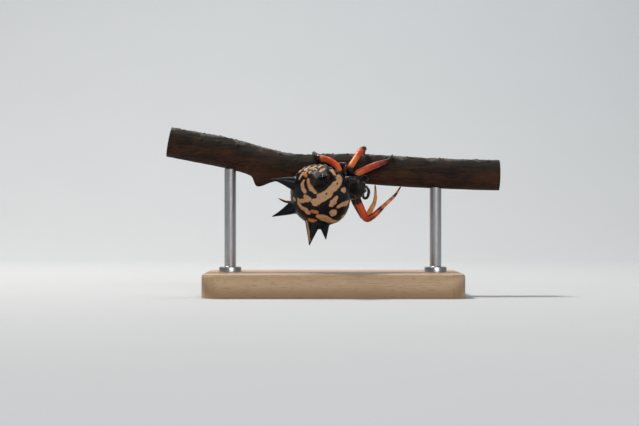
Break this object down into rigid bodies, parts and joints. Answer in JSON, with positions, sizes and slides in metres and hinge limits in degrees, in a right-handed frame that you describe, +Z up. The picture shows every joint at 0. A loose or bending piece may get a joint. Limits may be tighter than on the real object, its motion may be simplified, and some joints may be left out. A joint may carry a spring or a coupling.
{
  "type": "spiny orb weaver spider on a cut twig",
  "caption": "Life-size still model of a spiny orb weaver gripping a short cut twig, head to the right, on a flat base with short rods.",
  "frame": {"origin": "middle of the underside of the stand's base", "axes": "+X along the twig toward the spider's head, +Y away from the viewer of the picture, +Z up"},
  "size_m": [0.034, 0.0152, 0.0171],
  "materials": {
    "abdomen_cuticle": "hard glossy shield, cream marks on blue-black",
    "black_cuticle": "glossy black cuticle with fine pale hairs",
    "leg_cuticle": "orange-red, slightly see-through cuticle with dark bands and bristles",
    "eye_lens": "polished dark lens",
    "bark": "dark red-brown bark with a grey weathered top",
    "stand_wood": "plain satin wood",
    "stand_steel": "brushed steel"
  },
  "bodies": {
    "root": {"abdomen": "abdomen_cuticle", "cephalothorax": "black_cuticle", "spinnerets": "black_cuticle", "chelicera_left": "black_cuticle", "chelicera_right": "black_cuticle", "palp_left": "black_cuticle", "palp_right": "black_cuticle", "leg_left_1": "leg_cuticle", "leg_left_2": "leg_cuticle", "leg_left_3": "leg_cuticle", "leg_left_4": "leg_cuticle", "leg_right_1": "leg_cuticle", "leg_right_2": "leg_cuticle", "leg_right_3": "leg_cuticle", "leg_right_4": "leg_cuticle", "eye_front_middle_left": "eye_lens", "eye_front_middle_right": "eye_lens", "eye_rear_middle_left": "eye_lens", "eye_rear_middle_right": "eye_lens", "eye_front_side_left": "eye_lens", "eye_front_side_right": "eye_lens", "eye_rear_side_left": "eye_lens", "eye_rear_side_right": "eye_lens", "perch_twig": "bark", "stand_base": "stand_wood", "stand_rod_left": "stand_steel", "stand_rod_right": "stand_steel"}
  },
  "joints": []
}
